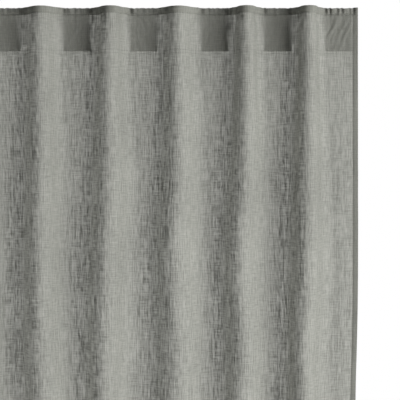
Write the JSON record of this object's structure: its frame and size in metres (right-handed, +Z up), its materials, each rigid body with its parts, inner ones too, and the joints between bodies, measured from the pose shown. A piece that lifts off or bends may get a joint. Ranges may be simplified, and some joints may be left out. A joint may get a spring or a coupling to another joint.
{
  "type": "curtain panel",
  "caption": "Plain linen-weave room curtain panel with hidden back tabs and a short header frill, hung in soft round folds for a 20 mm rod.",
  "frame": {"origin": "on the axis of the 20 mm rod that the panel is made for, at mid width of the hung panel", "axes": "+Z up the cloth, +X along the rod from the wall-side edge to the leading edge, -Y out of the front face"},
  "size_m": [1.1018, 0.0742, 2.5],
  "materials": {
    "linen": "matt washed linen weave, greige, with slubs",
    "tab_linen": "the same linen, doubled",
    "thread": "matt sewing thread in the cloth's colour",
    "label_satin": "off-white woven satin, blank"
  },
  "bodies": {
    "wall_side_tab": {"back_fold_1": "linen", "tab_1": "tab_linen", "tab_1_top_stitching": "thread", "tab_1_bottom_stitching": "thread", "left_side_hem": "linen"},
    "tab_station_2": {"back_fold_2": "linen", "tab_2": "tab_linen", "tab_2_top_stitching": "thread", "tab_2_bottom_stitching": "thread"},
    "tab_station_3": {"back_fold_3": "linen", "tab_3": "tab_linen", "tab_3_top_stitching": "thread", "tab_3_bottom_stitching": "thread"},
    "tab_station_4": {"back_fold_4": "linen", "tab_4": "tab_linen", "tab_4_top_stitching": "thread", "tab_4_bottom_stitching": "thread"},
    "tab_station_5": {"back_fold_5": "linen", "tab_5": "tab_linen", "tab_5_top_stitching": "thread", "tab_5_bottom_stitching": "thread"},
    "tab_station_6": {"back_fold_6": "linen", "tab_6": "tab_linen", "tab_6_top_stitching": "thread", "tab_6_bottom_stitching": "thread"},
    "tab_station_7": {"back_fold_7": "linen", "tab_7": "tab_linen", "tab_7_top_stitching": "thread", "tab_7_bottom_stitching": "thread"},
    "leading_tab": {"back_fold_8": "linen", "tab_8": "tab_linen", "tab_8_top_stitching": "thread", "tab_8_bottom_stitching": "thread", "right_side_hem": "linen", "care_label": "label_satin"},
    "front_fold_1_left_leaf": {"front_fold_1_left_leaf": "linen"},
    "front_fold_1_right_leaf": {"front_fold_1_right_leaf": "linen"},
    "front_fold_2_left_leaf": {"front_fold_2_left_leaf": "linen"},
    "front_fold_2_right_leaf": {"front_fold_2_right_leaf": "linen"},
    "front_fold_3_left_leaf": {"front_fold_3_left_leaf": "linen"},
    "front_fold_3_right_leaf": {"front_fold_3_right_leaf": "linen"},
    "front_fold_4_left_leaf": {"front_fold_4_left_leaf": "linen"},
    "front_fold_4_right_leaf": {"front_fold_4_right_leaf": "linen"},
    "front_fold_5_left_leaf": {"front_fold_5_left_leaf": "linen"},
    "front_fold_5_right_leaf": {"front_fold_5_right_leaf": "linen"},
    "front_fold_6_left_leaf": {"front_fold_6_left_leaf": "linen"},
    "front_fold_6_right_leaf": {"front_fold_6_right_leaf": "linen"},
    "front_fold_7_left_leaf": {"front_fold_7_left_leaf": "linen"},
    "front_fold_7_right_leaf": {"front_fold_7_right_leaf": "linen"}
  },
  "joints": [
    {"name": "draw", "type": "slide", "parent": "wall_side_tab", "child": "leading_tab", "axis": [-1, 0, 0], "range_m": [0, 0.50889]},
    {"name": "tab_2_slide", "type": "slide", "parent": "wall_side_tab", "child": "tab_station_2", "axis": [-1, 0, 0], "range_m": [0, 0.0727]},
    {"name": "tab_3_slide", "type": "slide", "parent": "wall_side_tab", "child": "tab_station_3", "axis": [-1, 0, 0], "range_m": [0, 0.14394]},
    {"name": "tab_4_slide", "type": "slide", "parent": "wall_side_tab", "child": "tab_station_4", "axis": [-1, 0, 0], "range_m": [0, 0.22137]},
    {"name": "tab_5_slide", "type": "slide", "parent": "wall_side_tab", "child": "tab_station_5", "axis": [-1, 0, 0], "range_m": [0, 0.29443]},
    {"name": "tab_6_slide", "type": "slide", "parent": "wall_side_tab", "child": "tab_station_6", "axis": [-1, 0, 0], "range_m": [0, 0.37258]},
    {"name": "tab_7_slide", "type": "slide", "parent": "wall_side_tab", "child": "tab_station_7", "axis": [-1, 0, 0], "range_m": [0, 0.44165]},
    {"name": "front_fold_1_left_turn", "type": "hinge", "parent": "wall_side_tab", "child": "front_fold_1_left_leaf", "pos_m": [-0.47989, -0.0143, 0], "axis": [0, 0, 1], "range_deg": [-40.41, 0]},
    {"name": "front_fold_1_right_turn", "type": "hinge", "parent": "tab_station_2", "child": "front_fold_1_right_leaf", "pos_m": [-0.3925, -0.0143, 0], "axis": [0, 0, 1], "range_deg": [0, 40.41]},
    {"name": "front_fold_2_left_turn", "type": "hinge", "parent": "tab_station_2", "child": "front_fold_2_left_leaf", "pos_m": [-0.3345, -0.0143, 0], "axis": [0, 0, 1], "range_deg": [-39.12, 0]},
    {"name": "front_fold_2_right_turn", "type": "hinge", "parent": "tab_station_3", "child": "front_fold_2_right_leaf", "pos_m": [-0.25, -0.0143, 0], "axis": [0, 0, 1], "range_deg": [0, 39.12]},
    {"name": "front_fold_3_left_turn", "type": "hinge", "parent": "tab_station_3", "child": "front_fold_3_left_leaf", "pos_m": [-0.19201, -0.0143, 0], "axis": [0, 0, 1], "range_deg": [-44.86, 0]},
    {"name": "front_fold_3_right_turn", "type": "hinge", "parent": "tab_station_4", "child": "front_fold_3_right_leaf", "pos_m": [-0.09516, -0.0143, 0], "axis": [0, 0, 1], "range_deg": [0, 44.86]},
    {"name": "front_fold_4_left_turn", "type": "hinge", "parent": "tab_station_4", "child": "front_fold_4_left_leaf", "pos_m": [-0.03716, -0.0143, 0], "axis": [0, 0, 1], "range_deg": [-40.73, 0]},
    {"name": "front_fold_4_right_turn", "type": "hinge", "parent": "tab_station_5", "child": "front_fold_4_right_leaf", "pos_m": [0.05097, -0.0143, 0], "axis": [0, 0, 1], "range_deg": [0, 40.73]},
    {"name": "front_fold_5_left_turn", "type": "hinge", "parent": "tab_station_5", "child": "front_fold_5_left_leaf", "pos_m": [0.10897, -0.0143, 0], "axis": [0, 0, 1], "range_deg": [-45.59, 0]},
    {"name": "front_fold_5_right_turn", "type": "hinge", "parent": "tab_station_6", "child": "front_fold_5_right_leaf", "pos_m": [0.20727, -0.0143, 0], "axis": [0, 0, 1], "range_deg": [0, 45.59]},
    {"name": "front_fold_6_left_turn", "type": "hinge", "parent": "tab_station_6", "child": "front_fold_6_left_leaf", "pos_m": [0.26527, -0.0143, 0], "axis": [0, 0, 1], "range_deg": [-37.26, 0]},
    {"name": "front_fold_6_right_turn", "type": "hinge", "parent": "tab_station_7", "child": "front_fold_6_right_leaf", "pos_m": [0.3454, -0.0143, 0], "axis": [0, 0, 1], "range_deg": [0, 37.26]},
    {"name": "front_fold_7_left_turn", "type": "hinge", "parent": "tab_station_7", "child": "front_fold_7_left_leaf", "pos_m": [0.4034, -0.0143, 0], "axis": [0, 0, 1], "range_deg": [-35.76, 0]},
    {"name": "front_fold_7_right_turn", "type": "hinge", "parent": "leading_tab", "child": "front_fold_7_right_leaf", "pos_m": [0.47989, -0.0143, 0], "axis": [0, 0, 1], "range_deg": [0, 35.76]}
  ],
  "couplings": [
    {"joint": "tab_2_slide", "follows": "draw", "ratio": 0.14286},
    {"joint": "tab_3_slide", "follows": "draw", "ratio": 0.28286},
    {"joint": "tab_4_slide", "follows": "draw", "ratio": 0.435},
    {"joint": "tab_5_slide", "follows": "draw", "ratio": 0.57857},
    {"joint": "tab_6_slide", "follows": "draw", "ratio": 0.73214},
    {"joint": "tab_7_slide", "follows": "draw", "ratio": 0.86786},
    {"joint": "front_fold_1_left_turn", "follows": "draw", "rad_per_m": -1.3858},
    {"joint": "front_fold_1_right_turn", "follows": "draw", "rad_per_m": 1.3858},
    {"joint": "front_fold_2_left_turn", "follows": "draw", "rad_per_m": -1.3417},
    {"joint": "front_fold_2_right_turn", "follows": "draw", "rad_per_m": 1.3417},
    {"joint": "front_fold_3_left_turn", "follows": "draw", "rad_per_m": -1.5386},
    {"joint": "front_fold_3_right_turn", "follows": "draw", "rad_per_m": 1.5386},
    {"joint": "front_fold_4_left_turn", "follows": "draw", "rad_per_m": -1.397},
    {"joint": "front_fold_4_right_turn", "follows": "draw", "rad_per_m": 1.397},
    {"joint": "front_fold_5_left_turn", "follows": "draw", "rad_per_m": -1.5635},
    {"joint": "front_fold_5_right_turn", "follows": "draw", "rad_per_m": 1.5635},
    {"joint": "front_fold_6_left_turn", "follows": "draw", "rad_per_m": -1.2777},
    {"joint": "front_fold_6_right_turn", "follows": "draw", "rad_per_m": 1.2777},
    {"joint": "front_fold_7_left_turn", "follows": "draw", "rad_per_m": -1.2264},
    {"joint": "front_fold_7_right_turn", "follows": "draw", "rad_per_m": 1.2264}
  ]
}
